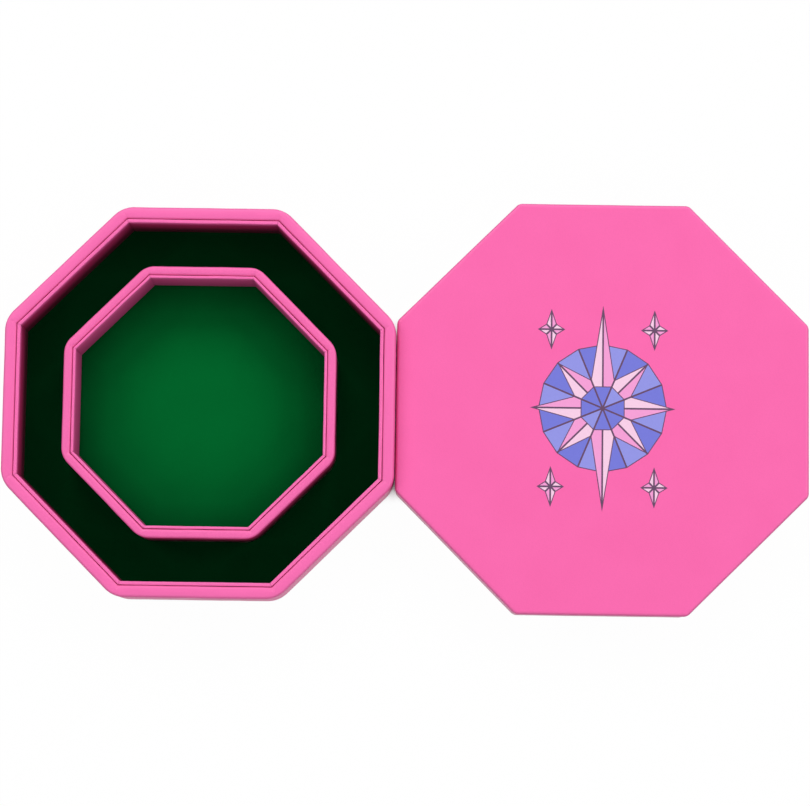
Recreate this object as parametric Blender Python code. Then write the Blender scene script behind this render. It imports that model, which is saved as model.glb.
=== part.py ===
"""Octagonal dice box: a felted rolling tray with a storage channel round it, and a lift-off lid.

It is a rigid box of greyboard covered in leatherette. Each wall is eight mitred strips of board, and one wrap goes
over the rim of each ring of strips. Thin covered liner panels stand inside, a groove away from the wrap. The floor
is felt. The lid stands beside the tray, top side up, on the hem of its own skirt.

Frame: metres, +Z up. The origin is the centre of the tray's underside. Side 1 of each octagon faces +X, and the
sides are numbered anticlockwise. A profile's points are (depth in from the outer face, height).
"""

import math

import bmesh
import bpy
from mathutils import Vector

# Sheet materials and the spaces between glued pieces
SKIN = 0.0008  # leatherette
GLUE = 0.0003  # between two glued faces
SEAM = 0.0003  # between two panels that meet at a corner
FELT = 0.0010
BASE_COVER = 0.0009
LID_LINING = 0.0008

# Tray
TRAY_ACROSS = 0.2006  # over two opposite sides, outside
TRAY_HEIGHT = 0.0340
TRAY_CORNER = 0.0150  # radius of the upright corners
TRAY_RIM = 0.0022  # radius of the rim's outer edge
TRAY_FOOT = 0.0012  # radius of the bottom edge
TRAY_BOARD = 0.0039
TRAY_LINER = 0.0017
TRAY_GROOVE = 0.0004  # between the wrapped wall and its liner
TRAY_LINER_DROP = 0.0005  # from the rim down to the liner's top
BASE_BOARD = 0.0024
COVER_INSET = 0.0018  # from the tray's outline in to the underside cover
TURN_IN = 0.0120  # reach of the wrap's flap under the base board

# Inner ring, between the rolling area and the storage channel
CHANNEL = 0.0223  # clear width from the tray's liner to the ring
RING_DROP = 0.0015  # from the tray's rim down to the ring's rim
RING_CORNER = 0.0115
RING_RIM = 0.0018
RING_BOARD = 0.0022
RING_LINER = 0.0013
RING_GROOVE = 0.0004
RING_LINER_DROP = 0.0003

# Lid
LID_CLEARANCE = 0.0011  # between the tray's wall and the skirt's inside, once the lid is on
LID_HEIGHT = 0.0285
LID_CORNER = 0.0045
LID_EDGE = 0.0012  # radius round the top face
LID_TOP_BOARD = 0.0024
LID_BOARD = 0.0020
LID_HEM = 0.0014  # radius of the skirt's outer bottom edge
LID_STEP = 0.0003  # from the turned-down edge in to the skirt's face
LID_LIP = 0.0045  # depth of the top cover's turned-down edge
LID_LIP_GAP = 0.0004  # shadow line under the turned-down edge
LID_BESIDE = 0.0004  # between the tray and the lid beside it

# Small edges
INNER_RIM = 0.0009  # radius of a wrap's edge on the inner side
LINER_EDGE = 0.0006  # radius of a liner's top edges

SIDES = 8
TURN = 2 * math.pi / SIDES
CORNER_STEPS = 4  # facets round an upright corner
CORNER_TAPER = 3.2  # fall of an upright corner's radius for each step in behind the outer face
EDGE_STEPS = 4  # facets round a rim or a hem
SMALL_STEPS = 2  # facets round a small edge
MERGE = 1e-6
SHARP_ANGLE = math.radians(32)

# Heights, from the underside up
WRAP_UNDER = BASE_COVER + GLUE
BOARD_FOOT = WRAP_UNDER + SKIN + GLUE
FELT_FOOT = BOARD_FOOT + BASE_BOARD + GLUE
LINER_FOOT = FELT_FOOT + FELT + GLUE
RING_HEIGHT = TRAY_HEIGHT - RING_DROP
LIP_FOOT = LID_HEIGHT - LID_LIP
TOP_BOARD_FOOT = LID_HEIGHT - SKIN - GLUE - LID_TOP_BOARD
SKIRT_TOP = TOP_BOARD_FOOT - GLUE

# Wall thicknesses, from the outer skin to the inner one
COVERED = SKIN + GLUE
TRAY_WALL = COVERED + TRAY_BOARD + COVERED
RING_WALL = COVERED + RING_BOARD + COVERED
LID_WALL = LID_STEP + COVERED + LID_BOARD + COVERED

# Apothems: half the width over two opposite sides
TRAY_APOTHEM = TRAY_ACROSS / 2
RING_APOTHEM = TRAY_APOTHEM - TRAY_WALL - TRAY_GROOVE - TRAY_LINER - CHANNEL
LID_APOTHEM = TRAY_APOTHEM + LID_CLEARANCE + LID_WALL
LID_CENTRE_X = TRAY_APOTHEM + LID_BESIDE + LID_APOTHEM


def plain_material(name, colour, roughness):
    material = bpy.data.materials.new(name)
    material.use_nodes = True
    shader = material.node_tree.nodes["Principled BSDF"]
    shader.inputs["Base Color"].default_value = (*colour, 1.0)
    shader.inputs["Roughness"].default_value = roughness
    shader.inputs["Metallic"].default_value = 0.0
    return material


def corner_point(apothem, radius, side, angle, height):
    """A point on the rounded corner after a side, where that corner faces an angle on from the side's own facing.

    A radius of zero or less makes the corner sharp, and then every angle gives the same point.
    """
    radius = max(radius, 0.0)
    reach = (apothem - radius) / math.cos(TURN / 2)
    middle = (side + 0.5) * TURN
    facing = side * TURN + angle
    x = reach * math.cos(middle) + radius * math.cos(facing)
    y = reach * math.sin(middle) + radius * math.sin(facing)
    return Vector((x, y, height))


def outline_at(apothem, corner, depth):
    """The outline at a depth behind the outer one. Its corners sharpen as it moves in, towards the boards' mitres."""
    return apothem - depth, corner - CORNER_TAPER * depth


def octagon_loop(apothem, radius, height):
    return [
        corner_point(apothem, radius, side, TURN * step / CORNER_STEPS, height)
        for side in range(SIDES)
        for step in range(CORNER_STEPS + 1)
    ]


def arc(centre_depth, centre_height, radius, start, end, steps):
    """Profile points round an edge, between two angles in degrees: 0 faces out of the wall and 90 faces up."""
    points = []
    for step in range(steps + 1):
        angle = math.radians(start + (end - start) * step / steps)
        depth = centre_depth - radius * math.cos(angle)
        height = centre_height + radius * math.sin(angle)
        points.append((depth, height))
    return points


def loft(bm, loops, closed_path):
    """Skins neighbouring closed loops of points, and the last with the first on a closed path."""
    rows = [[bm.verts.new(point) for point in loop] for loop in loops]
    nexts = rows[1:] + rows[:1] if closed_path else rows[1:]
    for row, other in zip(rows, nexts):
        for i in range(len(row)):
            bm.faces.new((row[i - 1], row[i], other[i], other[i - 1]))
    return rows


def to_mesh(name, bm):
    bmesh.ops.remove_doubles(bm, verts=bm.verts, dist=MERGE)
    bmesh.ops.dissolve_degenerate(bm, edges=bm.edges, dist=MERGE)
    bmesh.ops.recalc_face_normals(bm, faces=bm.faces)
    mesh = bpy.data.meshes.new(name)
    bm.to_mesh(mesh)
    bm.free()
    mesh.shade_smooth()
    mesh.set_sharp_from_angle(angle=SHARP_ANGLE)
    return mesh


def wrapped_band(name, profile, apothem, corner):
    """A wrap: one closed section taken round the whole octagon, its rounded corners included."""
    bm = bmesh.new()
    loops = [octagon_loop(*outline_at(apothem, corner, depth), height) for depth, height in profile]
    loft(bm, loops, closed_path=True)
    return to_mesh(name, bm)


def turned_sheet(name, profile, apothem, corner):
    """A sheet whose edges turn down: the section goes from its top face round the edge and back underneath."""
    bm = bmesh.new()
    loops = [octagon_loop(*outline_at(apothem, corner, depth), height) for depth, height in profile]
    rows = loft(bm, loops, closed_path=False)
    bm.faces.new(rows[0])
    bm.faces.new(rows[-1])
    return to_mesh(name, bm)


def flat_sheet(name, apothem, corner, foot, thickness):
    """A flat octagon of sheet, its outline extruded upwards."""
    bm = bmesh.new()
    outline = bm.faces.new([bm.verts.new(point) for point in octagon_loop(apothem, corner, foot)])
    raised = bmesh.ops.extrude_face_region(bm, geom=[outline])["geom"]
    top = [v for v in raised if isinstance(v, bmesh.types.BMVert)]
    bmesh.ops.translate(bm, verts=top, vec=(0, 0, thickness))
    return to_mesh(name, bm)


def pierced_sheet(name, outer, inner, foot, thickness):
    """A flat octagon of sheet with an octagonal hole. Both outlines are (apothem, corner radius)."""
    bm = bmesh.new()
    loops = [
        octagon_loop(*outline, height)
        for outline, height in (
            (outer, foot),
            (outer, foot + thickness),
            (inner, foot + thickness),
            (inner, foot),
        )
    ]
    loft(bm, loops, closed_path=True)
    return to_mesh(name, bm)


def mitred_strip(name, profile, apothem, corner):
    """One side's strip of a wall, facing +X: its section is taken past both corners and then cut to a mitre."""
    bm = bmesh.new()
    loops = [
        [
            corner_point(*outline_at(apothem, corner, depth), side, TURN * step / CORNER_STEPS, height)
            for depth, height in profile
        ]
        for side in (-1, 0)
        for step in range(CORNER_STEPS + 1)
    ]
    loft(bm, loops, closed_path=False)
    bmesh.ops.remove_doubles(bm, verts=bm.verts, dist=MERGE)
    for way in (-1, 1):
        mitre = Vector((-math.sin(TURN / 2), way * math.cos(TURN / 2), 0))
        cut = bmesh.ops.bisect_plane(
            bm,
            geom=bm.verts[:] + bm.edges[:] + bm.faces[:],
            dist=MERGE,
            plane_co=mitre * -SEAM / 2,
            plane_no=mitre,
            clear_outer=True,
        )
        end = [e for e in cut["geom_cut"] if isinstance(e, bmesh.types.BMEdge)]
        bmesh.ops.edgeloop_fill(bm, edges=end)
    return to_mesh(name, bm)


def add_piece(name, mesh, material, body, turn=0.0):
    piece = bpy.data.objects.new(name, mesh)
    bpy.context.scene.collection.objects.link(piece)
    if not mesh.materials:
        mesh.materials.append(material)
    piece.parent = body
    piece.rotation_euler = (0, 0, turn)
    return piece


def add_ring_of_strips(name, profile, apothem, corner, material, body):
    """Eight copies of one strip, numbered from the side that faces +X."""
    strip = mitred_strip(name, profile, apothem, corner)
    for side in range(SIDES):
        add_piece(f"{name}_{side + 1}", strip, material, body, side * TURN)


def add_body(name, place):
    body = bpy.data.objects.new(name, None)
    bpy.context.scene.collection.objects.link(body)
    body.location = place
    return body


def wall_board_section(thickness, foot, top, rim):
    """A strip of board, its outer top edge eased where the wrap rolls over the rim."""
    inner = COVERED + thickness
    edge = rim - COVERED
    return [
        (inner, foot),
        (COVERED, foot),
        *arc(rim, top - COVERED - edge, edge, 0, 90, SMALL_STEPS),
        (inner, top - COVERED),
    ]


def liner_section(outer, thickness, foot, top):
    """A covered liner panel, both of its top edges rounded."""
    inner = outer + thickness
    return [
        (inner, foot),
        (outer, foot),
        *arc(outer + LINER_EDGE, top - LINER_EDGE, LINER_EDGE, 0, 90, SMALL_STEPS),
        *arc(inner - LINER_EDGE, top - LINER_EDGE, LINER_EDGE, 90, 180, SMALL_STEPS),
    ]


def rim_outside(wall, top, rim):
    """The visible face of a wrap over a rim, from the outer side to the inner one."""
    return [
        *arc(rim, top - rim, rim, 0, 90, EDGE_STEPS),
        *arc(wall - INNER_RIM, top - INNER_RIM, INNER_RIM, 90, 180, SMALL_STEPS),
    ]


def rim_inside(wall, top, rim):
    """The glued face of that wrap, from the inner side back to the outer one."""
    turn = INNER_RIM - SKIN
    return [
        *arc(wall - INNER_RIM, top - INNER_RIM, turn, 180, 90, SMALL_STEPS),
        *arc(rim, top - rim, rim - SKIN, 90, 0, EDGE_STEPS),
    ]


def tray_wrap_section():
    """A flap under the base board, then up the outer face, over the rim and down into the groove."""
    foot_centre = (TRAY_FOOT, WRAP_UNDER + TRAY_FOOT)
    return [
        (TURN_IN, WRAP_UNDER),
        *arc(*foot_centre, TRAY_FOOT, -90, 0, SMALL_STEPS),
        *rim_outside(TRAY_WALL, TRAY_HEIGHT, TRAY_RIM),
        (TRAY_WALL, FELT_FOOT),
        (TRAY_WALL - SKIN, FELT_FOOT),
        *rim_inside(TRAY_WALL, TRAY_HEIGHT, TRAY_RIM),
        *arc(*foot_centre, TRAY_FOOT - SKIN, 0, -90, SMALL_STEPS),
        (TURN_IN, WRAP_UNDER + SKIN),
    ]


def ring_wrap_section():
    """Up one face of the ring's boards, over the rim and down the other, both edges ending on the base board."""
    return [
        (SKIN, FELT_FOOT),
        (0, FELT_FOOT),
        *rim_outside(RING_WALL, RING_HEIGHT, RING_RIM),
        (RING_WALL, FELT_FOOT),
        (RING_WALL - SKIN, FELT_FOOT),
        *rim_inside(RING_WALL, RING_HEIGHT, RING_RIM),
    ]


def skirt_wrap_section():
    """Down the skirt's outer face, round the hem and up the inside to the top."""
    hem_centre = (LID_STEP + LID_HEM, LID_HEM)
    inner_centre = (LID_WALL - INNER_RIM, INNER_RIM)
    return [
        (LID_STEP, LIP_FOOT - LID_LIP_GAP),
        *arc(*hem_centre, LID_HEM, 0, -90, EDGE_STEPS),
        *arc(*inner_centre, INNER_RIM, -90, -180, SMALL_STEPS),
        (LID_WALL, SKIRT_TOP),
        (LID_WALL - SKIN, SKIRT_TOP),
        *arc(*inner_centre, INNER_RIM - SKIN, -180, -90, SMALL_STEPS),
        *arc(*hem_centre, LID_HEM - SKIN, -90, 0, EDGE_STEPS),
        (LID_STEP + SKIN, LIP_FOOT - LID_LIP_GAP),
    ]


def skirt_board_section():
    outer = LID_STEP + COVERED
    inner = outer + LID_BOARD
    return [
        (inner, COVERED),
        *arc(LID_STEP + LID_HEM, LID_HEM, LID_HEM - COVERED, -90, 0, SMALL_STEPS),
        (outer, SKIRT_TOP),
        (inner, SKIRT_TOP),
    ]


def lid_cover_section():
    edge_centre = (LID_EDGE, LID_HEIGHT - LID_EDGE)
    return [
        *arc(*edge_centre, LID_EDGE, 90, 0, EDGE_STEPS),
        (0, LIP_FOOT),
        (SKIN, LIP_FOOT),
        *arc(*edge_centre, LID_EDGE - SKIN, 0, 90, SMALL_STEPS),
    ]


def sheet_inside(apothem, corner, wall, foot, thickness, name):
    """A sheet that lies against the inside of a wall."""
    return flat_sheet(name, *outline_at(apothem, corner, wall + GLUE), foot, thickness)


def add_base(tray, leatherette, board):
    outline = (TRAY_APOTHEM, TRAY_CORNER)
    cover = flat_sheet("base_cover", *outline_at(*outline, COVER_INSET), 0.0, BASE_COVER)
    add_piece("base_cover", cover, leatherette, tray)
    filler = sheet_inside(*outline, TURN_IN, WRAP_UNDER, SKIN, "base_filler")
    add_piece("base_filler", filler, board, tray)
    base = sheet_inside(*outline, COVERED + TRAY_BOARD, BOARD_FOOT, BASE_BOARD, "base_board")
    add_piece("base_board", base, board, tray)


def add_outer_wall(tray, leatherette, board):
    outline = (TRAY_APOTHEM, TRAY_CORNER)
    wrap = wrapped_band("tray_wrap", tray_wrap_section(), *outline)
    add_piece("tray_wrap", wrap, leatherette, tray)
    strip = wall_board_section(TRAY_BOARD, BOARD_FOOT, TRAY_HEIGHT, TRAY_RIM)
    add_ring_of_strips("tray_wall_board", strip, *outline, board, tray)
    liner = liner_section(
        TRAY_WALL + TRAY_GROOVE,
        TRAY_LINER,
        LINER_FOOT,
        TRAY_HEIGHT - TRAY_LINER_DROP,
    )
    add_ring_of_strips("tray_liner", liner, *outline, leatherette, tray)


def add_inner_ring(tray, leatherette, board):
    outline = (RING_APOTHEM, RING_CORNER)
    wrap = wrapped_band("ring_wrap", ring_wrap_section(), *outline)
    add_piece("ring_wrap", wrap, leatherette, tray)
    strip = wall_board_section(RING_BOARD, FELT_FOOT, RING_HEIGHT, RING_RIM)
    add_ring_of_strips("ring_board", strip, *outline, board, tray)
    liner = liner_section(
        RING_WALL + RING_GROOVE,
        RING_LINER,
        LINER_FOOT,
        RING_HEIGHT - RING_LINER_DROP,
    )
    add_ring_of_strips("ring_liner", liner, *outline, leatherette, tray)


def add_felt(tray, felt):
    """One octagon in the rolling area, and one pierced octagon that floors the storage channel."""
    rolling = sheet_inside(RING_APOTHEM, RING_CORNER, RING_WALL, FELT_FOOT, FELT, "rolling_felt")
    add_piece("rolling_felt", rolling, felt, tray)
    outer = outline_at(TRAY_APOTHEM, TRAY_CORNER, TRAY_WALL + GLUE)
    inner = outline_at(RING_APOTHEM, RING_CORNER, -GLUE)
    channel = pierced_sheet("channel_felt", outer, inner, FELT_FOOT, FELT)
    add_piece("channel_felt", channel, felt, tray)


def add_lid_top(lid, leatherette, board, lining):
    outline = (LID_APOTHEM, LID_CORNER)
    cover = turned_sheet("lid_top_cover", lid_cover_section(), *outline)
    add_piece("lid_top_cover", cover, leatherette, lid)
    top_board = sheet_inside(*outline, SKIN, TOP_BOARD_FOOT, LID_TOP_BOARD, "lid_top_board")
    add_piece("lid_top_board", top_board, board, lid)
    inside = sheet_inside(*outline, LID_WALL, SKIRT_TOP - LID_LINING, LID_LINING, "lid_lining")
    add_piece("lid_lining", inside, lining, lid)


def add_lid_skirt(lid, leatherette, board):
    outline = (LID_APOTHEM, LID_CORNER)
    wrap = wrapped_band("lid_skirt_wrap", skirt_wrap_section(), *outline)
    add_piece("lid_skirt_wrap", wrap, leatherette, lid)
    add_ring_of_strips("lid_skirt_board", skirt_board_section(), *outline, board, lid)


def main():
    for thing in list(bpy.data.objects):
        bpy.data.objects.remove(thing)

    leatherette = plain_material("pink_leatherette", (0.97, 0.155, 0.46), 0.42)
    board = plain_material("greyboard", (0.36, 0.31, 0.25), 0.9)
    felt = plain_material("green_felt", (0.0, 0.085, 0.022), 1.0)
    lining = plain_material("lining_cloth", (0.0, 0.07, 0.02), 0.95)

    tray = add_body("tray", (0, 0, 0))
    add_base(tray, leatherette, board)
    add_outer_wall(tray, leatherette, board)
    add_inner_ring(tray, leatherette, board)
    add_felt(tray, felt)

    lid = add_body("lid", (LID_CENTRE_X, 0, 0))
    add_lid_top(lid, leatherette, board, lining)
    add_lid_skirt(lid, leatherette, board)


main()
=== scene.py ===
"""Finishes the octagonal dice box: its leatherette wraps, liner panels, felt, lid and printed ornament.

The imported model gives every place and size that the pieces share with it. The pieces are modelled over it in
edit mode, so that the rims roll, the corners are round and the panels are as uneven as hand-glued ones.
Lengths are in metres. The tray's centre is the world's origin and the lid lies at +X.
"""

import math

import bmesh
import bpy
from mathutils import Matrix, Vector, noise


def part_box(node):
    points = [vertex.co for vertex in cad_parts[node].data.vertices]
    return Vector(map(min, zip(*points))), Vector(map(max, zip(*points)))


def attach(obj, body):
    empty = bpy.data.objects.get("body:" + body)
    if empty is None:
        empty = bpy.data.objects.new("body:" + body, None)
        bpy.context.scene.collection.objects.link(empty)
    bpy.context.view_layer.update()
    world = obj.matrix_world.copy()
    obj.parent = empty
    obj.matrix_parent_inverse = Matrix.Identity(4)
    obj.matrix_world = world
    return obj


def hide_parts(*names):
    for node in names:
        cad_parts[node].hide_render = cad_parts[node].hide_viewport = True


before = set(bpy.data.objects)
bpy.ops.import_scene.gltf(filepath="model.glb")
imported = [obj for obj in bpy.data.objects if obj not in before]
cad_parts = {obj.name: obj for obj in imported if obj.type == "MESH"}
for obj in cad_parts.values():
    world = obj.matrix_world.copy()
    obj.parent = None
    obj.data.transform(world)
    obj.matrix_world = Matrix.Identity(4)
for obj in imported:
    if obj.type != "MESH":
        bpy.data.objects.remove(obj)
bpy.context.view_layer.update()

bl_info = {
    "name": "Octagonal dice box",
    "version": (1, 0, 0),
    "blender": (4, 5, 0),
    "location": "3D View > Sidebar > Dice Box",
    "description": "Builds the wraps, liners, felt, lid and print of an octagonal dice box",
    "category": "Add Mesh",
}

# Octagon
SIDES = 8
HALF_TURN = math.pi / SIDES
CORNER_CUTS = 12
HALF_SIDE_CUTS = 14
FACE_CUTS = 6
ARC_CUTS = 7
BAND_CUTS = 6

HAIR = 0.00001  # too short to be seen
MERGE = 0.000002  # points nearer than this are one
GLUE = 0.0003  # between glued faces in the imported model
END_GAP = 0.0004  # from the end of a wrap to the piece that it stops at
TURN_IN = 0.003  # how far the tray's wrap goes on under its wall
CUT_EDGE = 0.0003  # rounding of a sheet's cut edges
SMOOTH_ANGLE = 38  # degrees up to which two faces are shaded as one surface
SHARP_ANGLE = 50  # degrees from which an edge of a sheet is rounded
MITRE_GAP = 0.00006  # from a liner panel's mitred end to the mitre's plane
NOISE_SEED = 1  # vector noise takes its offsets from the clock without one

# Grain, ink, velvet and board: about how large their lumps are, and how deep
PEBBLE = 0.00052
PORE = 0.00016
CLOUD = 0.018
GRAIN_STOPS = ((0.15, 1.0), (0.75, 0.0))
GRAIN_DEPTH = 0.000035
INK_PATCH = 0.0012
INK_GRAIN_DEPTH = 0.00003
VELVET_TIP = 0.00030
VELVET_PILE = 0.0011
VELVET_BRUSHED = 0.024
VELVET_DEPTH = 0.00025
FIBRE = 0.0007
FLECK = 0.0021
FIBRE_DEPTH = 0.00006

# Folds pressed into the rims at the corners
FOLD_WIDTH = 0.00028
FOLD_REACH = 0.0012  # below the rim's top
TRAY_FOLD = (0.0045, 0.00035)  # length and depth
RING_FOLD = (0.0032, 0.00030)

# Stage
STAGE_MIDDLE = 0.1  # between the tray and the lid, along X
FLOOR_SIZE = 12.0
FLOOR_DROP = 0.0002
CAMERA_PLACE = (0.10793, -0.14391, 1.40441)
CAMERA_TURN = (0.10515, 0.00039, 0.01449)
CAMERA_LENS = 119.96

# Light: watts by the direction in degrees round from +X
SOFTBOXES = {20: 30.0, 65: 35.0, 110: 36.0, 155: 25.0, 200: 16.0, 245: 15.0, 290: 15.0, 335: 18.0}
LAMP_ELEVATION = 38
LAMP_DISTANCE = 3.5
LAMP_SIZE = 1.4
FILL = 0.10
CONTACT = 0.010  # how near walls must stand on both sides for painted shade on the floor between them
CONTACT_STOPS = ((0.14, 0.0), (0.46, 1.0))
FLOOR_GLOW = 0.98  # share of plain white in the floor that the camera sees
FLOOR_SHADE = 0.55  # tone of the rest, as a share of the floor's colour
FLOOR_GAP_SHADE = 0.5  # painted shade and pink reflected light between two near walls, as a share of the recess shade colour

# Painted shade below a rim. A depth is where the leatherette has a shaded tone, below the height where it
# leaves its own
RING_BRIGHT = 0.0003  # from the ring's top down to where its painted shade starts
LINER_BRIGHT = 0.0007
LINER_SHADE_DEPTH = 0.0060
RING_SHADE_DEPTH = 0.0040
EDGE_SHADE_DEPTH = 0.0012  # painted shade round the outside edge of the tray and the lid, on down their sides
ROLLING_FOOT = (0.0260, 0.45)  # depth, and the painted shade there as a share of the recess shade colour
CHANNEL_FOOT = (0.0200, 0.10)  # the same painted shade in the narrow channel, which hardly any light gets into
WALL_SHADE = 0.55  # velvet's painted shade at a wall, as a share of its open tone
OPEN_SHARE = 0.76  # of the way to the wall, over which the velvet keeps its open tone, without painted shade
WALL_CONTACT_SHADE = 0.0035  # width of the darkest painted shade, beside a wall

# Print: how far its shapes reach. The star's rays are eighth turns round from +X
DISC_REACH = 0.0330
DISC_POINTS = 16
RAY_LENGTHS = (0.0372, 0.0330, 0.0530, 0.0330, 0.0372, 0.0330, 0.0530, 0.0330)
STAR_VALLEY = 0.0158
GEM_REACH = 0.0122
SPARKLE_RAYS = (0.0070, 0.0105, 0.0070, 0.0105)
SPARKLE_VALLEY = 0.0038
SPARKLE_SPOTS = ((0.0265, 0.0405), (-0.0265, 0.0405), (-0.0265, -0.0405), (0.0265, -0.0405))


def linear(red, green, blue):
    """A colour written in 8-bit sRGB, as linear values."""
    values = []
    for channel in (red, green, blue):
        share = channel / 255
        values.append(share / 12.92 if share <= 0.04045 else ((share + 0.055) / 1.055) ** 2.4)
    return tuple(values)


def length(name, description, default):
    return bpy.props.FloatProperty(
        name=name, description=description, default=default, min=0.0, unit="LENGTH", precision=5
    )


def colour(name, description, red, green, blue):
    return bpy.props.FloatVectorProperty(
        name=name,
        description=description,
        default=linear(red, green, blue),
        size=3,
        min=0.0,
        max=1.0,
        subtype="COLOR",
    )


class DiceBoxSizes(bpy.types.PropertyGroup):
    """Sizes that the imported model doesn't state, and the hand-made unevenness."""

    tray_wall: length("Tray wall", "Thickness of the tray's wall with its wraps", 0.0061)
    ring_wall: length("Ring wall", "Thickness of the ring wall with its wraps", 0.0044)
    groove: length("Groove", "Gap between a wrap and the liner panel behind it", 0.00028)
    tray_corner: length("Tray corner", "Radius of the tray's upright corners", 0.0150)
    tray_rim: length("Tray rim", "Radius of the outer edge of the tray's rim", 0.0019)
    tray_foot: length("Tray foot", "Radius of the tray's bottom edge", 0.0012)
    ring_corner: length("Ring corner", "Radius of the ring wall's upright corners", 0.0115)
    ring_rim: length("Ring rim", "Radius of the outer edge of the ring's rim", 0.0014)
    inner_rim: length("Inner rim", "Radius of a wrap's edge beside the liner", 0.0012)
    liner_edge: length("Liner edge", "Radius of a liner panel's top edges", 0.0005)
    lid_corner: length("Lid corner", "Radius of the lid's upright corners", 0.0045)
    corner_taper: bpy.props.FloatProperty(
        name="Corner taper",
        description="How fast a corner's radius falls with its depth in the wall",
        default=3.2,
        min=1.0,
    )
    lid_edge: length("Lid edge", "Radius round the lid's top face", 0.0018)
    lid_hem: length("Lid hem", "Radius of the skirt's bottom edge", 0.0013)
    crown: length("Crown", "How far the middle of a rim stands above its edges", 0.00012)
    uneven: length("Unevenness", "How far a glued wrap wanders from its board", 0.00009)
    warp: length("Liner warp", "How far a liner panel bows from a straight line", 0.00013)
    skin: length("Leatherette", "Thickness of the wraps, with their paper backing", 0.0008)
    ink: length("Ink", "Thickness of the print", 0.00004)
    outline: length("Outline", "Half the width of the print's outlines", 0.00045)


class DiceBoxColours(bpy.types.PropertyGroup):
    """Colours of the leatherette, the felt, the board and the inks."""

    tray: colour("Tray", "Leatherette of the tray's and the ring's wraps", 252, 109, 180)
    # The panels' own leatherette, a touch lighter than the wraps' as partly painted highlight for the sheen on
    # their ridges
    liner: colour("Liner", "Leatherette of the liner panels", 254, 113, 184)
    # Painted shade: these two colours darken the leatherette below a rim, as shade does there
    recess_shade: colour("Deep leatherette", "Leatherette well below a rim, in the channel", 202, 44, 112)
    ring_recess_shade: colour("Deep ring liner", "Liner panels well below the rim, in the rolling area", 232, 80, 156)
    # Painted shade: the tray's outer face below its rim
    tray_side_shade: colour("Tray side", "Leatherette of the tray's outer face, below its rim", 226, 86, 152)
    lid: colour("Lid", "Leatherette of the lid", 255, 105, 177)
    # Painted shade: the lid's edge and skirt
    lid_side_shade: colour("Lid side", "Leatherette of the lid's edge and skirt", 208, 84, 144)
    felt: colour("Felt", "Velvet of the rolling area and the lid's lining", 0, 108, 46)
    # Painted shade: the channel's velvet is darker than the rolling area's, as the channel gets little light
    channel: colour("Channel felt", "Velvet of the channel, darker where stored dice flatten it", 0, 62, 26)
    board: colour("Board", "Bare box board", 150, 141, 128)
    outline: colour("Outline ink", "Dark lines of the print", 104, 72, 104)
    blue: colour("Blue ink", "Darker blue of the print", 118, 122, 220)
    pale_blue: colour("Pale blue ink", "Lighter blue of the print", 148, 150, 232)
    pink: colour("Pink ink", "Middle pink of the print", 248, 160, 216)
    pale_pink: colour("Pale pink ink", "Palest pink of the print", 251, 208, 234)
    floor: colour("Floor", "Ground that the box stands on", 246, 245, 246)


class Amount:
    """A number socket in a material. Sums on it add Math nodes."""

    def __init__(self, finish, socket):
        self.finish = finish
        self.socket = socket

    def __add__(self, other):
        return self.finish.maths("ADD", self, other)

    def __radd__(self, other):
        return self.finish.maths("ADD", other, self)

    def __sub__(self, other):
        return self.finish.maths("SUBTRACT", self, other)

    def __rsub__(self, other):
        return self.finish.maths("SUBTRACT", other, self)

    def __mul__(self, other):
        return self.finish.maths("MULTIPLY", self, other)

    def __rmul__(self, other):
        return self.finish.maths("MULTIPLY", other, self)


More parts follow.
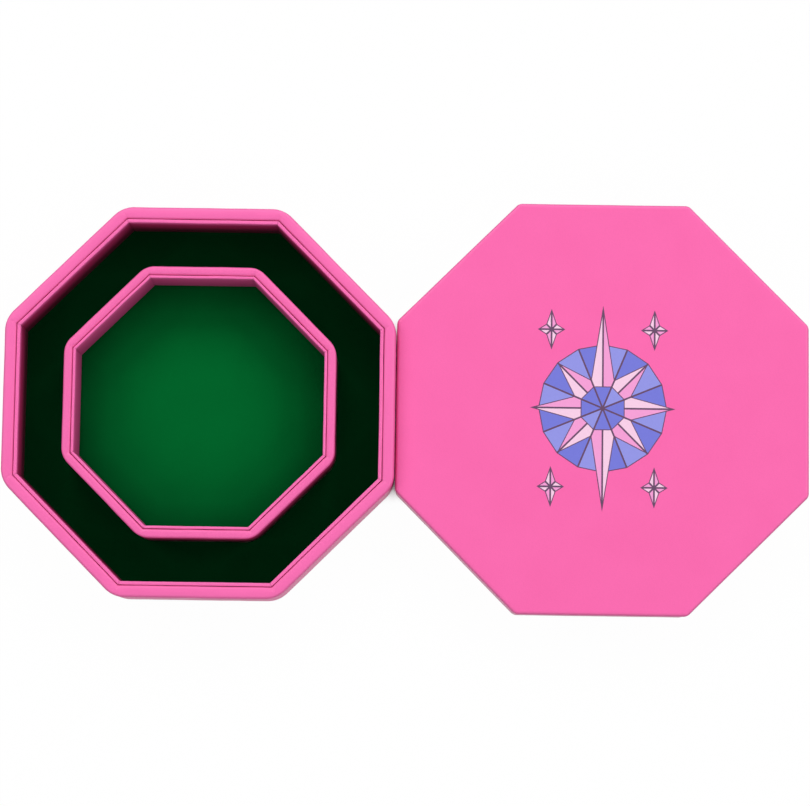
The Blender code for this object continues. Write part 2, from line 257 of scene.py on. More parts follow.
class Finish:
    """One material's nodes, around a Principled shader."""

    def __init__(self, name):
        self.material = bpy.data.materials.new(name)
        self.material.use_nodes = True
        self.tree = self.material.node_tree
        self.shader = self.tree.nodes["Principled BSDF"]
        self.place = self.node("ShaderNodeTexCoord").outputs["Object"]

    def node(self, kind, settings=None, sockets=None, stops=None):
        """Adds a node: its settings first, then a ramp's stops, then values or links in its sockets."""
        made = self.tree.nodes.new(kind)
        for name, value in (settings or {}).items():
            setattr(made, name, value)
        for stop, (position, value) in zip(made.color_ramp.elements if stops else (), stops or ()):
            stop.position = position
            stop.color = (value, value, value, 1.0)
        for key, value in (sockets or {}).items():
            self.fill(made.inputs[key], value)
        return made

    def fill(self, socket, value):
        if isinstance(value, Amount):
            value = value.socket
        if isinstance(value, bpy.types.NodeSocket):
            self.tree.links.new(value, socket)
        else:
            socket.default_value = value

    def maths(self, operation, first, second, clamp=False):
        settings = {"operation": operation, "use_clamp": clamp}
        return Amount(self, self.node("ShaderNodeMath", settings, {0: first, 1: second}).outputs[0])

    def noise(self, size, detail=2.0, roughness=0.5):
        """Soft noise about 0.5, whose lumps are about as large as the size in metres."""
        sockets = {"Vector": self.place, "Scale": 1 / size, "Detail": detail, "Roughness": roughness}
        return Amount(self, self.node("ShaderNodeTexNoise", sockets=sockets).outputs["Fac"])

    def grain(self):
        """Pebbled grain, 1 on the middles of its rounded cells and 0 between them."""
        sockets = {"Vector": self.place, "Scale": 1 / PEBBLE}
        made = self.node("ShaderNodeTexVoronoi", {"feature": "SMOOTH_F1"}, sockets)
        return self.ramp(Amount(self, made.outputs["Distance"]), *GRAIN_STOPS)

    def axes(self):
        """A point's place along X, Y and Z, as sockets by those names."""
        return self.node("ShaderNodeSeparateXYZ", sockets={"Vector": self.place}).outputs

    def height(self):
        """How far a point is above the table."""
        return Amount(self, self.axes()["Z"])

    def reach(self):
        """Half-width of the octagon round the tray's middle that a point lies on."""
        place = self.axes()
        x, y = (self.maths("ABSOLUTE", place[axis], 0.0) for axis in "XY")
        return self.maths("MAXIMUM", self.maths("MAXIMUM", x, y), (x + y) * math.cos(2 * HALF_TURN))

    def ramp(self, amount, *stops):
        made = self.node("ShaderNodeValToRGB", sockets={"Fac": amount}, stops=stops)
        return Amount(self, made.outputs["Color"])

    def mix(self, factor, first, second):
        """A colour between two colours, by a factor."""
        sockets = {"Factor": factor, 6: opaque(first), 7: opaque(second)}
        return self.node("ShaderNodeMix", {"data_type": "RGBA"}, sockets).outputs[2]

    def set(self, name, value):
        self.fill(self.shader.inputs[name], value)

    def relief(self, height, depth, strength=1.0):
        """Bumps as deep as the depth in metres, where the height goes from 0 to 1."""
        sockets = {"Height": height, "Distance": depth, "Strength": strength}
        self.set("Normal", self.node("ShaderNodeBump", sockets=sockets).outputs["Normal"])


def opaque(value):
    """A plain colour with its alpha. A socket stays as it is."""
    return value if isinstance(value, (bpy.types.NodeSocket, Amount)) else (*value, 1.0)


def shade(value, factor):
    """The same hue, lighter above 1 and darker below."""
    return tuple(min(channel * factor, 1.0) for channel in value)


def leatherette(name, tint, roughness=0.46, rim=0.0, fades=(), pits=None):
    """Coated paper leatherette: fine pebbled grain, a satin coat and a faint cloudiness.

    Each fade is a colour of painted shade and how far below the rim's height the leatherette has it. The pits
    are the colour between the grain's pebbles.
    """
    finish = Finish(name)
    pores = finish.noise(PORE, 3.0)
    clouds = finish.noise(CLOUD, 3.0)
    grain = finish.grain()
    tone = finish.mix(clouds, shade(tint, 0.965), shade(tint, 1.03))
    # Painted shade: each fade darkens the tone further below the rim
    for faded, depth in fades:
        share = finish.maths("DIVIDE", rim - finish.height(), depth, clamp=True)
        tone = finish.mix(share, tone, faded)
    finish.set("Base Color", finish.mix((1.0 - grain) * 0.16, tone, shade(pits or tint, 0.80)))
    finish.set("Roughness", roughness + 0.10 * (clouds - 0.5) + 0.08 * (pores - 0.5))
    finish.relief(grain * 0.75 + pores * 0.25, GRAIN_DEPTH, 0.55)
    return finish.material


def velvet(name, tint, open_reach=0.0, wall_reach=0.0):
    """Short-pile velvet: dark, with fine tips and brushed patches where the pile leans.

    Painted shade makes it darker towards a wall: it is even out to the open reach from the tray's middle.
    """
    finish = Finish(name)
    tips = finish.noise(VELVET_TIP, 3.0, 0.65)
    pile = finish.noise(VELVET_PILE, 2.0)
    brushed = finish.noise(VELVET_BRUSHED, 2.0)
    tone = finish.mix(brushed, shade(tint, 0.90), shade(tint, 1.12))
    # Painted shade: darker towards the wall, darkest in a narrow band right beside it
    if wall_reach:
        reach = finish.reach()
        near = finish.maths("DIVIDE", reach - open_reach, wall_reach - open_reach, clamp=True)
        tone = finish.mix(near, tone, shade(tint, WALL_SHADE))
        contact_shade = finish.maths("DIVIDE", reach - (wall_reach - WALL_CONTACT_SHADE), WALL_CONTACT_SHADE, clamp=True)
        tone = finish.mix(contact_shade, tone, shade(tint, WALL_SHADE / 3))
    lit = finish.ramp(tips, (0.30, 0.0), (0.72, 1.0))
    finish.set("Base Color", finish.mix(lit, shade(tint, 0.62), tone))
    finish.set("Roughness", 0.92 + 0.08 * tips)
    finish.set("Specular IOR Level", 0.03)
    finish.set("Sheen Weight", 0.06)
    finish.set("Sheen Tint", opaque(shade(tint, 2.5)))
    finish.set("Sheen Roughness", 0.45)
    finish.relief(tips * 0.7 + pile * 0.3, VELVET_DEPTH, 0.8)
    return finish.material


def box_board(name, tint):
    """Grey board: pressed paper fibre with darker and lighter flecks."""
    finish = Finish(name)
    fibres = finish.noise(FIBRE, 4.0, 0.7)
    flecks = finish.ramp(finish.noise(FLECK, 2.0), (0.60, 0.0), (0.70, 1.0))
    tone = finish.mix(fibres, shade(tint, 0.84), shade(tint, 1.14))
    finish.set("Base Color", finish.mix(flecks * 0.35, tone, shade(tint, 0.60)))
    finish.set("Roughness", 0.86 + 0.10 * fibres)
    finish.relief(fibres, FIBRE_DEPTH)
    return finish.material


def print_ink(name, tint):
    """Flat ink that lies in the leatherette's grain."""
    finish = Finish(name)
    grain = finish.grain()
    cover = finish.noise(INK_PATCH, 3.0)
    tone = finish.mix(cover, shade(tint, 0.96), shade(tint, 1.02))
    finish.set("Base Color", finish.mix((1.0 - grain) * 0.10, tone, shade(tint, 0.84)))
    finish.set("Roughness", 0.44 + 0.10 * (cover - 0.5))
    finish.relief(grain, INK_GRAIN_DEPTH, 0.5)
    return finish.material


def colours():
    return bpy.context.scene.dice_box_colours


def sizes():
    return bpy.context.scene.dice_box_sizes


def inside_leatherette(name, tint, recess_shade, node, below, shade_depth, foot):
    """Leatherette inside the tray, with painted shade: bright on a rim, darker below it and darkest at the
    wall's foot.
    """
    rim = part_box(node)[1].z - below
    fades = ((recess_shade, shade_depth), (shade(recess_shade, foot[1]), foot[0]))
    return leatherette(name, tint, rim=rim, fades=fades, pits=recess_shade)


def outside_leatherette(name, tint, side, node, roughness):
    """Leatherette with painted shade: its edge and side are a little darker than its top."""
    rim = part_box(node)[1].z - sizes().crown
    return leatherette(name, tint, roughness, rim, ((side, EDGE_SHADE_DEPTH),))


def felt_reach():
    """From the tray's middle to the wall round the rolling area."""
    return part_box("rolling_felt")[1].x


def finish_of(name):
    """The material of that name, made when a piece first asks for it."""
    made = bpy.data.materials.get(name)
    if made is None:
        tint = colours()
        makers = {
            "wrap_finish": lambda: outside_leatherette(name, tint.tray, tint.tray_side_shade, "tray_wrap", 0.46),
            "ring_finish": lambda: inside_leatherette(
                name, tint.tray, tint.recess_shade, "ring_wrap", RING_BRIGHT, RING_SHADE_DEPTH, CHANNEL_FOOT
            ),
            "tray_liner_finish": lambda: inside_leatherette(
                name, tint.liner, tint.recess_shade, "tray_liner_1", LINER_BRIGHT, LINER_SHADE_DEPTH, CHANNEL_FOOT
            ),
            "ring_liner_finish": lambda: inside_leatherette(
                name, tint.liner, tint.ring_recess_shade, "ring_liner_1", LINER_BRIGHT, LINER_SHADE_DEPTH, ROLLING_FOOT
            ),
            "lid_finish": lambda: outside_leatherette(name, tint.lid, tint.lid_side_shade, "lid_top_cover", 0.42),
            "velvet_finish": lambda: velvet(name, tint.felt, felt_reach() * OPEN_SHARE, felt_reach()),
            "channel_finish": lambda: velvet(name, tint.channel),
            "lining_finish": lambda: velvet(name, tint.felt),
            "board_finish": lambda: box_board(name, tint.board),
        }
        if name.startswith("ink_"):
            made = print_ink(name, getattr(tint, name.removeprefix("ink_")))
        else:
            made = makers[name]()
    return made


def leave_edit_mode():
    if bpy.context.object and bpy.context.object.mode != "OBJECT":
        bpy.ops.object.mode_set(mode="OBJECT")


def select_only(*pieces):
    leave_edit_mode()
    bpy.ops.object.select_all(action="DESELECT")
    for piece in pieces:
        piece.select_set(True)
    bpy.context.view_layer.objects.active = pieces[0]


def edit(piece):
    select_only(piece)
    bpy.ops.object.mode_set(mode="EDIT")


def pick(kind, wanted):
    """Selects only the faces, edges or vertices of the edited mesh that pass the test."""
    modes = {"faces": "FACE", "edges": "EDGE", "verts": "VERT"}
    bpy.ops.mesh.select_mode(type=modes[kind])
    bpy.ops.mesh.select_all(action="DESELECT")
    mesh = bpy.context.edit_object.data
    bm = bmesh.from_edit_mesh(mesh)
    for part in getattr(bm, kind):
        part.select_set(wanted(part))
    bm.select_flush_mode()
    bmesh.update_edit_mesh(mesh)


def middle(edge):
    return (edge.verts[0].co + edge.verts[1].co) / 2


def start_line(name, points):
    """A new piece, left in edit mode: a line of edges through points that are vectors, all of it selected."""
    leave_edit_mode()
    bpy.ops.object.select_all(action="DESELECT")
    bpy.ops.mesh.primitive_plane_add(size=HAIR, location=points[0])
    piece = bpy.context.object
    piece.name = name
    piece.data.name = name
    bpy.ops.object.transform_apply()
    edit(piece)
    bpy.ops.mesh.select_mode(type="VERT")
    bpy.ops.mesh.select_all(action="SELECT")
    bpy.ops.mesh.merge(type="CENTER")
    for before, after in zip(points, points[1:]):
        bpy.ops.mesh.extrude_vertices_move(TRANSFORM_OT_translate={"value": after - before})
    bpy.ops.mesh.select_all(action="SELECT")
    return piece


def extrude(step, times):
    """Extrudes what is selected by the same step several times."""
    for _ in range(times):
        bpy.ops.mesh.extrude_region_move(TRANSFORM_OT_translate={"value": step})


def sweep_round(name, centre, apothem, corner, profile):
    """Sweeps a profile of (depth behind the outer face, height) round an octagon with rounded corners."""
    points = [Vector((centre.x + apothem - depth, centre.y, height)) for depth, height in profile]
    piece = start_line(name, points)
    swept = max(corner, max(depth for depth, height in profile) + GLUE)
    straight = (apothem - swept) * math.tan(HALF_TURN)
    ahead = Vector((0, straight / HALF_SIDE_CUTS, 0))
    extrude(ahead, HALF_SIDE_CUTS)
    pivot = (centre.x + apothem - swept, centre.y + straight, 0)
    bpy.ops.mesh.spin(steps=CORNER_CUTS, angle=-2 * HALF_TURN, center=pivot, axis=(0, 0, 1))
    extrude(Matrix.Rotation(2 * HALF_TURN, 3, "Z") @ ahead, HALF_SIDE_CUTS)
    bpy.ops.mesh.select_all(action="SELECT")
    bpy.ops.mesh.spin(
        steps=SIDES - 1,
        dupli=True,
        angle=(SIDES - 1) * 2 * HALF_TURN,
        center=(centre.x, centre.y, 0),
        axis=(0, 0, 1),
    )
    sharpen_inwards(centre, apothem, swept, corner)
    bpy.ops.mesh.select_all(action="SELECT")
    bpy.ops.mesh.remove_doubles(threshold=MERGE)
    face_outwards(centre)
    return piece


def corner_radius(corner, depth):
    """An upright corner's radius at a depth. The mitred boards make it sharp inside."""
    return max(corner - sizes().corner_taper * depth, 0.0)


def sharpen_inwards(centre, apothem, swept, corner):
    """Gives each depth of the edited sweep its own corner radius, in place of the one pivot they share."""
    pivot = (apothem - swept) / math.cos(HALF_TURN)
    mesh = bpy.context.edit_object.data
    bm = bmesh.from_edit_mesh(mesh)
    for vertex in bm.verts:
        place = vertex.co - centre
        heading = math.atan2(place.y, place.x)
        corner_way = (math.floor(heading / (2 * HALF_TURN)) + 0.5) * 2 * HALF_TURN
        across = math.hypot(place.x, place.y) * math.cos(heading - corner_way)
        aside = math.hypot(place.x, place.y) * math.sin(heading - corner_way)
        facing = math.atan2(aside, across - pivot)
        way = math.copysign(1.0, facing)
        if abs(facing) < HALF_TURN:
            depth = swept - math.hypot(across - pivot, aside)
            radius = corner_radius(corner, depth)
            new_across = (apothem - depth - radius) / math.cos(HALF_TURN) + radius * math.cos(facing)
            new_aside = radius * math.sin(facing)
        else:
            out = across * math.cos(HALF_TURN) + way * aside * math.sin(HALF_TURN)
            along = across * math.sin(HALF_TURN) - way * aside * math.cos(HALF_TURN)
            depth = apothem - out
            along *= (apothem - depth - corner_radius(corner, depth)) / (apothem - swept)
            new_across = out * math.cos(HALF_TURN) + along * math.sin(HALF_TURN)
            new_aside = way * (out * math.sin(HALF_TURN) - along * math.cos(HALF_TURN))
        vertex.co.x = centre.x + new_across * math.cos(corner_way) - new_aside * math.sin(corner_way)
        vertex.co.y = centre.y + new_across * math.sin(corner_way) + new_aside * math.cos(corner_way)
    bmesh.update_edit_mesh(mesh)


def face_outwards(centre):
    """Turns all faces of the edited skin one way, so that its outermost one looks away from the centre."""
    bpy.ops.mesh.select_all(action="SELECT")
    bpy.ops.mesh.normals_make_consistent(inside=False)
    bm = bmesh.from_edit_mesh(bpy.context.edit_object.data)
    bm.normal_update()

    def away(face):
        place = face.calc_center_median() - centre
        return Vector((place.x, place.y, 0))

    outermost = max(bm.faces, key=lambda f: away(f).length)
    if outermost.normal.dot(away(outermost)) < 0:
        bpy.ops.mesh.flip_normals()


def fill_hole(height):
    """Closes the edited skin's open end that lies above a height."""
    pick("edges", lambda e: e.is_boundary and middle(e).z > height)
    bpy.ops.mesh.edge_face_add()


def start_prism(name, centre, apothem, corner, low, high):
    """An octagonal prism, flats towards +X and +Y and upright edges rounded, left in edit mode."""
    leave_edit_mode()
    bpy.ops.object.select_all(action="DESELECT")
    bpy.ops.mesh.primitive_cylinder_add(
        vertices=SIDES,
        radius=apothem / math.cos(HALF_TURN),
        depth=high - low,
        end_fill_type="NGON",
        location=(centre.x, centre.y, (low + high) / 2),
        rotation=(0, 0, HALF_TURN),
    )
    prism = bpy.context.object
    prism.name = name
    prism.data.name = name
    bpy.ops.object.transform_apply()
    edit(prism)
    if corner > 0:
        pick("edges", lambda e: abs(e.verts[0].co.z - e.verts[1].co.z) > (high - low) / 2)
        bpy.ops.mesh.bevel(offset=corner * math.tan(HALF_TURN), segments=CORNER_CUTS, profile=0.5)
    return prism


def pick_cap(up):
    """Selects the one large cap that faces up or down."""
    bm = bmesh.from_edit_mesh(bpy.context.edit_object.data)
    caps = [f for f in bm.faces if f.normal.z * (1 if up else -1) > 0.9]
    cap = max(caps, key=lambda f: f.calc_area())
    index = cap.index
    pick("faces", lambda f: f.index == index)


def arc(across, height, radius, first, last):
    """Points (across, height) on part of a circle, from one angle in degrees to another."""
    points = []
    for cut in range(ARC_CUTS + 1):
        turn = math.radians(first + (last - first) * cut / ARC_CUTS)
        points.append((across + radius * math.cos(turn), height + radius * math.sin(turn)))
    return points


def between(first, last, cuts, crown=0.0):
    """Points between two ends, without the ends. A crown lifts the middle."""
    points = []
    for cut in range(1, cuts):
        share = cut / cuts
        across, height = (start + (end - start) * share for start, end in zip(first, last))
        points.append((across, height + crown * math.sin(math.pi * share)))
    return points


def thicken(piece, thickness):
    """Gives an open skin its thickness, on its inner side."""
    leave_edit_mode()
    solid = piece.modifiers.new("thickness", "SOLIDIFY")
    solid.thickness = thickness
    solid.offset = -1.0
    solid.use_even_offset = True
    select_only(piece)
    bpy.ops.object.modifier_apply(modifier=solid.name)


def wander(piece, amount, seed, scale=0.012, upright=1.0):
    """Moves the points a little, as a glued skin wanders over its board. The seed is a place in the noise."""
    noise.seed_set(NOISE_SEED)
    shift = Vector((seed, seed * 0.37, -seed))
    for vertex in piece.data.vertices:
        drift = noise.noise_vector(vertex.co / scale + shift)
        vertex.co += Vector((drift.x, drift.y, drift.z * upright)) * amount


def complete(piece, material, body, slot, *replaced):
    """Shades a finished piece, gives it its finish, hides the nodes that it stands for and ties it to its
    body. The slot is not used.
    """
    leave_edit_mode()
    select_only(piece)
    bpy.ops.object.shade_smooth_by_angle(angle=math.radians(SMOOTH_ANGLE))
    piece.data.materials.clear()
    piece.data.materials.append(finish_of(material))
    if replaced:
        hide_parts(*replaced)
    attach(piece, body)


def outline_of(node):
    """An octagonal node's centre and half-width."""
    low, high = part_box(node)
    centre = (low + high) / 2
    return centre, high.x - centre.x


def crease_corners(piece, centre, from_reach, fold, top):
    """Presses a short fold into the rim at each corner, from the groove outwards."""
    length_out, depth = fold
    for vertex in piece.data.vertices:
        if vertex.co.z < top - FOLD_REACH:
            continue
        place = vertex.co - centre
        heading = math.atan2(place.y, place.x)
        nearest = (math.floor(heading / (2 * HALF_TURN)) + 0.5) * 2 * HALF_TURN
        reach = math.hypot(place.x, place.y) * math.cos(heading - nearest)
        aside = math.hypot(place.x, place.y) * math.sin(heading - nearest)
        share = (reach - from_reach) / length_out
        if 0 <= share <= 1:
            vertex.co.z -= depth * (1 - share) * math.exp(-((aside / FOLD_WIDTH) ** 2))


def rim_profile(wall, rim, inner_rim, top, crown):
    """The profile over a wall's top: round its outer edge, across a crowned band and round its inner edge."""
    outer = arc(rim, top - rim, rim, 180, 90)
    inner = arc(wall - inner_rim, top - inner_rim, inner_rim, 90, 0)
    return outer + between(outer[-1], inner[0], BAND_CUTS, crown) + inner


class DICEBOX_OT_tray_wrap(bpy.types.Operator):
    """Wraps the tray's wall: round the foot, up the outer face, over the wide rim and down into the groove"""

    bl_idname = "dice_box.tray_wrap"
    bl_label = "Tray wrap"

    def execute(self, context):
        size = sizes()
        centre, outside = outline_of("tray_wrap")
        wall = size.tray_wall
        low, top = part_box("tray_wrap")[0].z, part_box("tray_wrap")[1].z
        foot = arc(size.tray_foot, low + size.tray_foot, size.tray_foot, 270, 180)
        rim = rim_profile(wall, size.tray_rim, size.inner_rim, top, size.crown)
        end = (wall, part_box("base_board")[1].z + END_GAP)
        profile = [(size.tray_foot + TURN_IN, low)] + foot + between(foot[-1], rim[0], FACE_CUTS) + rim
        profile += between(rim[-1], end, FACE_CUTS) + [end]
        wrap = sweep_round("tray_wrap_skin", centre, outside, size.tray_corner, profile)
        thicken(wrap, size.skin)
        wander(wrap, size.uneven, 3.1)
        inside = (outside - wall) / math.cos(HALF_TURN)
        crease_corners(wrap, centre, inside, TRAY_FOLD, top)
        complete(wrap, "wrap_finish", "tray", "tray_leatherette", "tray_wrap")
        return {"FINISHED"}


class DICEBOX_OT_ring_wrap(bpy.types.Operator):
    """Wraps the ring wall between the rolling area and the channel, down both of its faces"""

    bl_idname = "dice_box.ring_wrap"
    bl_label = "Ring wrap"

    def execute(self, context):
        size = sizes()
        centre, outside = outline_of("ring_wrap")
        wall = size.ring_wall
        low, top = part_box("ring_wrap")[0].z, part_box("ring_wrap")[1].z
        rim = rim_profile(wall, size.ring_rim, size.inner_rim, top, size.crown / 2)
        start, end = (0.0, low), (wall, low)
        profile = [start] + between(start, rim[0], FACE_CUTS) + rim + between(rim[-1], end, FACE_CUTS) + [end]
        wrap = sweep_round("ring_wrap_skin", centre, outside, size.ring_corner, profile)
        thicken(wrap, size.skin)
        wander(wrap, size.uneven, 7.7)
        inside = (outside - wall) / math.cos(HALF_TURN)
        crease_corners(wrap, centre, inside, RING_FOLD, top)
        complete(wrap, "ring_finish", "tray", "tray_leatherette", "ring_wrap")
        return {"FINISHED"}


def liner_panel(name, node, edge, wall_face):
    """The panel on the side that faces +X: a card with rounded top edges, cut to a mitre at both ends.

    Its back stands a groove's width away from the wall's own face.
    """
    low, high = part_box(node)
    back = wall_face - sizes().groove
    low = Vector((low.x, -back * math.tan(HALF_TURN), low.z))
    high = Vector((back, back * math.tan(HALF_TURN), high.z))
    leave_edit_mode()
    bpy.ops.object.select_all(action="DESELECT")
    bpy.ops.mesh.primitive_cube_add(size=1.0, location=(low + high) / 2)
    panel = bpy.context.object
    panel.name = name
    panel.data.name = name
    panel.scale = high - low
    bpy.ops.object.transform_apply()
    edit(panel)
    pick("edges", lambda e: middle(e).z > high.z - 1e-6 and abs(e.verts[0].co.y - e.verts[1].co.y) > edge)
    bpy.ops.mesh.bevel(offset=edge, segments=ARC_CUTS, profile=0.5)
    pick("edges", lambda e: e.calc_length() > (high.y - low.y) / 2)
    bpy.ops.mesh.subdivide(number_cuts=2 * HALF_SIDE_CUTS - 1)
    pick("edges", lambda e: abs(e.verts[0].co.z - e.verts[1].co.z) > (high.z - low.z) / 2)
    bpy.ops.mesh.subdivide(number_cuts=FACE_CUTS - 1)
    for way in (-1, 1):
        bpy.ops.mesh.select_all(action="SELECT")
        across = Vector((-math.sin(HALF_TURN), way * math.cos(HALF_TURN), 0))
        bpy.ops.mesh.bisect(
            plane_co=across * -MITRE_GAP, plane_no=across, use_fill=True, clear_outer=True, threshold=1e-7
        )
    leave_edit_mode()
    return panel


def copy_round(panel, name, seed, warp):
    """Eight copies round the tray's centre, each with its own mesh and its own slight bow."""
    pieces = []
    for side in range(SIDES):
        piece = panel.copy()
        piece.data = panel.data.copy()
        piece.name = f"{name}_{side + 1}"
        piece.data.name = piece.name
        bpy.context.scene.collection.objects.link(piece)
        bow_panel(piece, warp, seed + side * 1.7)
        piece.data.transform(Matrix.Rotation(side * 2 * HALF_TURN, 4, "Z"))
        pieces.append(piece)
    bpy.data.objects.remove(panel)
    return pieces


def bow_panel(piece, warp, seed):
    """Bends a panel's top out of line a little, while its ends and its foot stay in place."""
    corners = [Vector(corner) for corner in piece.bound_box]
    reach = max(corner.y for corner in corners)
    foot, top = min(corner.z for corner in corners), max(corner.z for corner in corners)
    for vertex in piece.data.vertices:
        along = vertex.co.y / reach
        rise = (vertex.co.z - foot) / (top - foot)
        held = max(0.0, 1 - along**6)
        bow = noise.noise(Vector((along * 1.8 + seed, rise * 0.8, seed)))
        ripple = noise.noise(Vector((along * 9 + seed, rise * 2, -seed)))
        vertex.co.x += warp * held * rise * (bow + 0.25 * ripple)
        vertex.co.z += warp * 0.35 * rise * ripple * held


def stand_liners(zone, wall, seed):
    """Stands eight covered panels inside the wall of the tray or the ring."""
    size = sizes()
    wall_face = outline_of(f"{zone}_wrap")[1] - wall
    panel = liner_panel(f"{zone}_liner_panel", f"{zone}_liner_1", size.liner_edge, wall_face)
    for side, piece in enumerate(copy_round(panel, f"{zone}_panel", seed, size.warp), 1):
        complete(piece, f"{zone}_liner_finish", "tray", "liner_leatherette", f"{zone}_liner_{side}")


class DICEBOX_OT_tray_liners(bpy.types.Operator):
    """Stands eight covered panels inside the tray's wall"""

    bl_idname = "dice_box.tray_liners"
    bl_label = "Tray liner panels"

    def execute(self, context):
        stand_liners("tray", sizes().tray_wall, 2.3)
        return {"FINISHED"}


class DICEBOX_OT_ring_liners(bpy.types.Operator):
    """Stands eight covered panels inside the ring wall"""

    bl_idname = "dice_box.ring_liners"
    bl_label = "Ring liner panels"

    def execute(self, context):
        stand_liners("ring", sizes().ring_wall, 21.9)
        return {"FINISHED"}


class DICEBOX_OT_felts(bpy.types.Operator):
    """Lays velvet in the rolling area and in the storage channel"""

    bl_idname = "dice_box.felts"
    bl_label = "Felt floors"

    def execute(self, context):
        low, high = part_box("rolling_felt")
        centre = (low + high) / 2
        rolling = start_prism("rolling_velvet", centre, high.x - centre.x, 0.0, low.z, high.z)
        soften_sheet(rolling)
        complete(rolling, "velvet_finish", "tray", "green_felt", "rolling_felt")

        low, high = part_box("channel_felt")
        ring_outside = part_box("ring_wrap")[1].x + GLUE
        channel = start_prism("channel_velvet", centre, high.x - centre.x, 0.0, low.z, high.z)
        pierce(high.x - ring_outside, corner_radius(sizes().ring_corner, -GLUE))
        soften_sheet(channel)
        complete(channel, "channel_finish", "tray", "green_felt", "channel_felt")
        return {"FINISHED"}


def pierce(inset, corner):
    """Cuts an octagonal hole with rounded corners through the edited prism, an inset in from its edge."""
    for up in (True, False):
        pick_cap(up)
        bpy.ops.mesh.inset(thickness=inset, depth=0.0, use_even_offset=True)
        bpy.ops.mesh.delete(type="FACE")
    pick("edges", lambda e: e.is_boundary)
    bpy.ops.mesh.bridge_edge_loops()
    outline = max(v.co.xy.length for v in bmesh.from_edit_mesh(bpy.context.edit_object.data).verts)
    inside = outline - inset / 2
    pick("edges", lambda e: e.verts[0].co.z != e.verts[1].co.z and middle(e).xy.length < inside)
    bpy.ops.mesh.bevel(offset=corner * math.tan(HALF_TURN), segments=CORNER_CUTS, profile=0.5)
    bpy.ops.mesh.select_all(action="SELECT")
    bpy.ops.mesh.normals_make_consistent(inside=False)


def soften_sheet(piece):
    """Rounds the cut edges of a sheet a little."""
    leave_edit_mode()
    bevel = piece.modifiers.new("cut edge", "BEVEL")
    bevel.width = CUT_EDGE
    bevel.segments = 3
    bevel.limit_method = "ANGLE"
    bevel.angle_limit = math.radians(SHARP_ANGLE)
    select_only(piece)
    bpy.ops.object.modifier_apply(modifier=bevel.name)


class DICEBOX_OT_base(bpy.types.Operator):
    """Covers the underside of the tray with one sheet of leatherette"""

    bl_idname = "dice_box.base"
    bl_label = "Base cover"

    def execute(self, context):
        size = sizes()
        low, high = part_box("base_cover")
        centre = (low + high) / 2
        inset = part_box("tray_wrap")[1].x - high.x
        corner = corner_radius(size.tray_corner, inset)
        cover = start_prism("base_sheet", centre, high.x - centre.x, corner, low.z, high.z)
        soften_sheet(cover)
        complete(cover, "wrap_finish", "tray", "tray_leatherette", "base_cover")
        return {"FINISHED"}


class DICEBOX_OT_boards(bpy.types.Operator):
    """Gives the boards inside the walls, the base and the lid their pressed-fibre finish"""

    bl_idname = "dice_box.boards"
    bl_label = "Box boards"

    def execute(self, context):
        for name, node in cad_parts.items():
            if "board" in name or name == "base_filler":
                node.data.materials.clear()
                node.data.materials.append(finish_of("board_finish"))
        return {"FINISHED"}


class DICEBOX_OT_lid_cover(bpy.types.Operator):
    """Covers the lid's top with one smooth sheet, turned down all round"""

    bl_idname = "dice_box.lid_cover"
    bl_label = "Lid cover"

    def execute(self, context):
        size = sizes()
        low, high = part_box("lid_top_cover")
        centre = (low + high) / 2
        edge = arc(size.lid_edge, high.z - size.lid_edge, size.lid_edge, 180, 90)
        foot, flat = (0.0, low.z), (size.lid_corner * 0.9, high.z)
        profile = [foot] + between(foot, edge[0], 4) + edge + between(edge[-1], flat, 3) + [flat]
        cover = sweep_round("lid_cover_skin", centre, high.x - centre.x, size.lid_corner, profile)
        fill_hole(high.z - HAIR)
        thicken(cover, size.skin)
        wander(cover, size.uneven * 0.6, 11.3, scale=0.02, upright=0.0)
        complete(cover, "lid_finish", "lid", "lid_leatherette", "lid_top_cover")
        return {"FINISHED"}


class DICEBOX_OT_lid_skirt(bpy.types.Operator):
    """Wraps the lid's skirt: down the outer face, round the hem and up the inside"""

    bl_idname = "dice_box.lid_skirt"
    bl_label = "Lid skirt"

    def execute(self, context):
        size = sizes()
        low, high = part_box("lid_skirt_wrap")
        centre = (low + high) / 2
        outside = high.x - centre.x
        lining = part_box("lid_lining")
        wall = outside - (lining[1].x - lining[0].x) / 2 - GLUE
        start = (0.0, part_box("lid_top_cover")[0].z - END_GAP)
        hem = arc(size.lid_hem, low.z + size.lid_hem, size.lid_hem, 180, 270)
        inner = arc(wall - size.inner_rim, low.z + size.inner_rim, size.inner_rim, 270, 360)
        end = (wall, high.z)
        profile = [start] + between(start, hem[0], FACE_CUTS) + hem + between(hem[-1], inner[0], 2) + inner
        profile += between(inner[-1], end, FACE_CUTS) + [end]
        wrap = sweep_round("lid_skirt_skin", centre, outside, size.lid_corner, profile)
        thicken(wrap, size.skin)
        wander(wrap, size.uneven * 0.6, 17.9, upright=0.0)
        complete(wrap, "lid_finish", "lid", "lid_leatherette", "lid_skirt_wrap")
        return {"FINISHED"}


class DICEBOX_OT_lid_lining(bpy.types.Operator):
    """Lines the lid's inside with velvet"""

    bl_idname = "dice_box.lid_lining"
    bl_label = "Lid lining"

    def execute(self, context):
        low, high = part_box("lid_lining")
        centre = (low + high) / 2
        lining = start_prism("lid_velvet", centre, high.x - centre.x, 0.0, low.z, high.z)
        soften_sheet(lining)
        complete(lining, "lining_finish", "lid", "lid_lining", "lid_lining")
        return {"FINISHED"}


def start_fan(name, place, reach, points, first=0.0):
    """A flat fan of triangles round a place, left in edit mode. Its first point is at an angle in degrees."""
    leave_edit_mode()
    bpy.ops.object.select_all(action="DESELECT")
    bpy.ops.mesh.primitive_circle_add(
        vertices=points,
        radius=reach,
        fill_type="TRIFAN",
        location=place,
        rotation=(0, 0, math.radians(first)),
    )
    fan = bpy.context.object
    fan.name = name
    fan.data.name = name
    bpy.ops.object.transform_apply()
    edit(fan)
    return fan


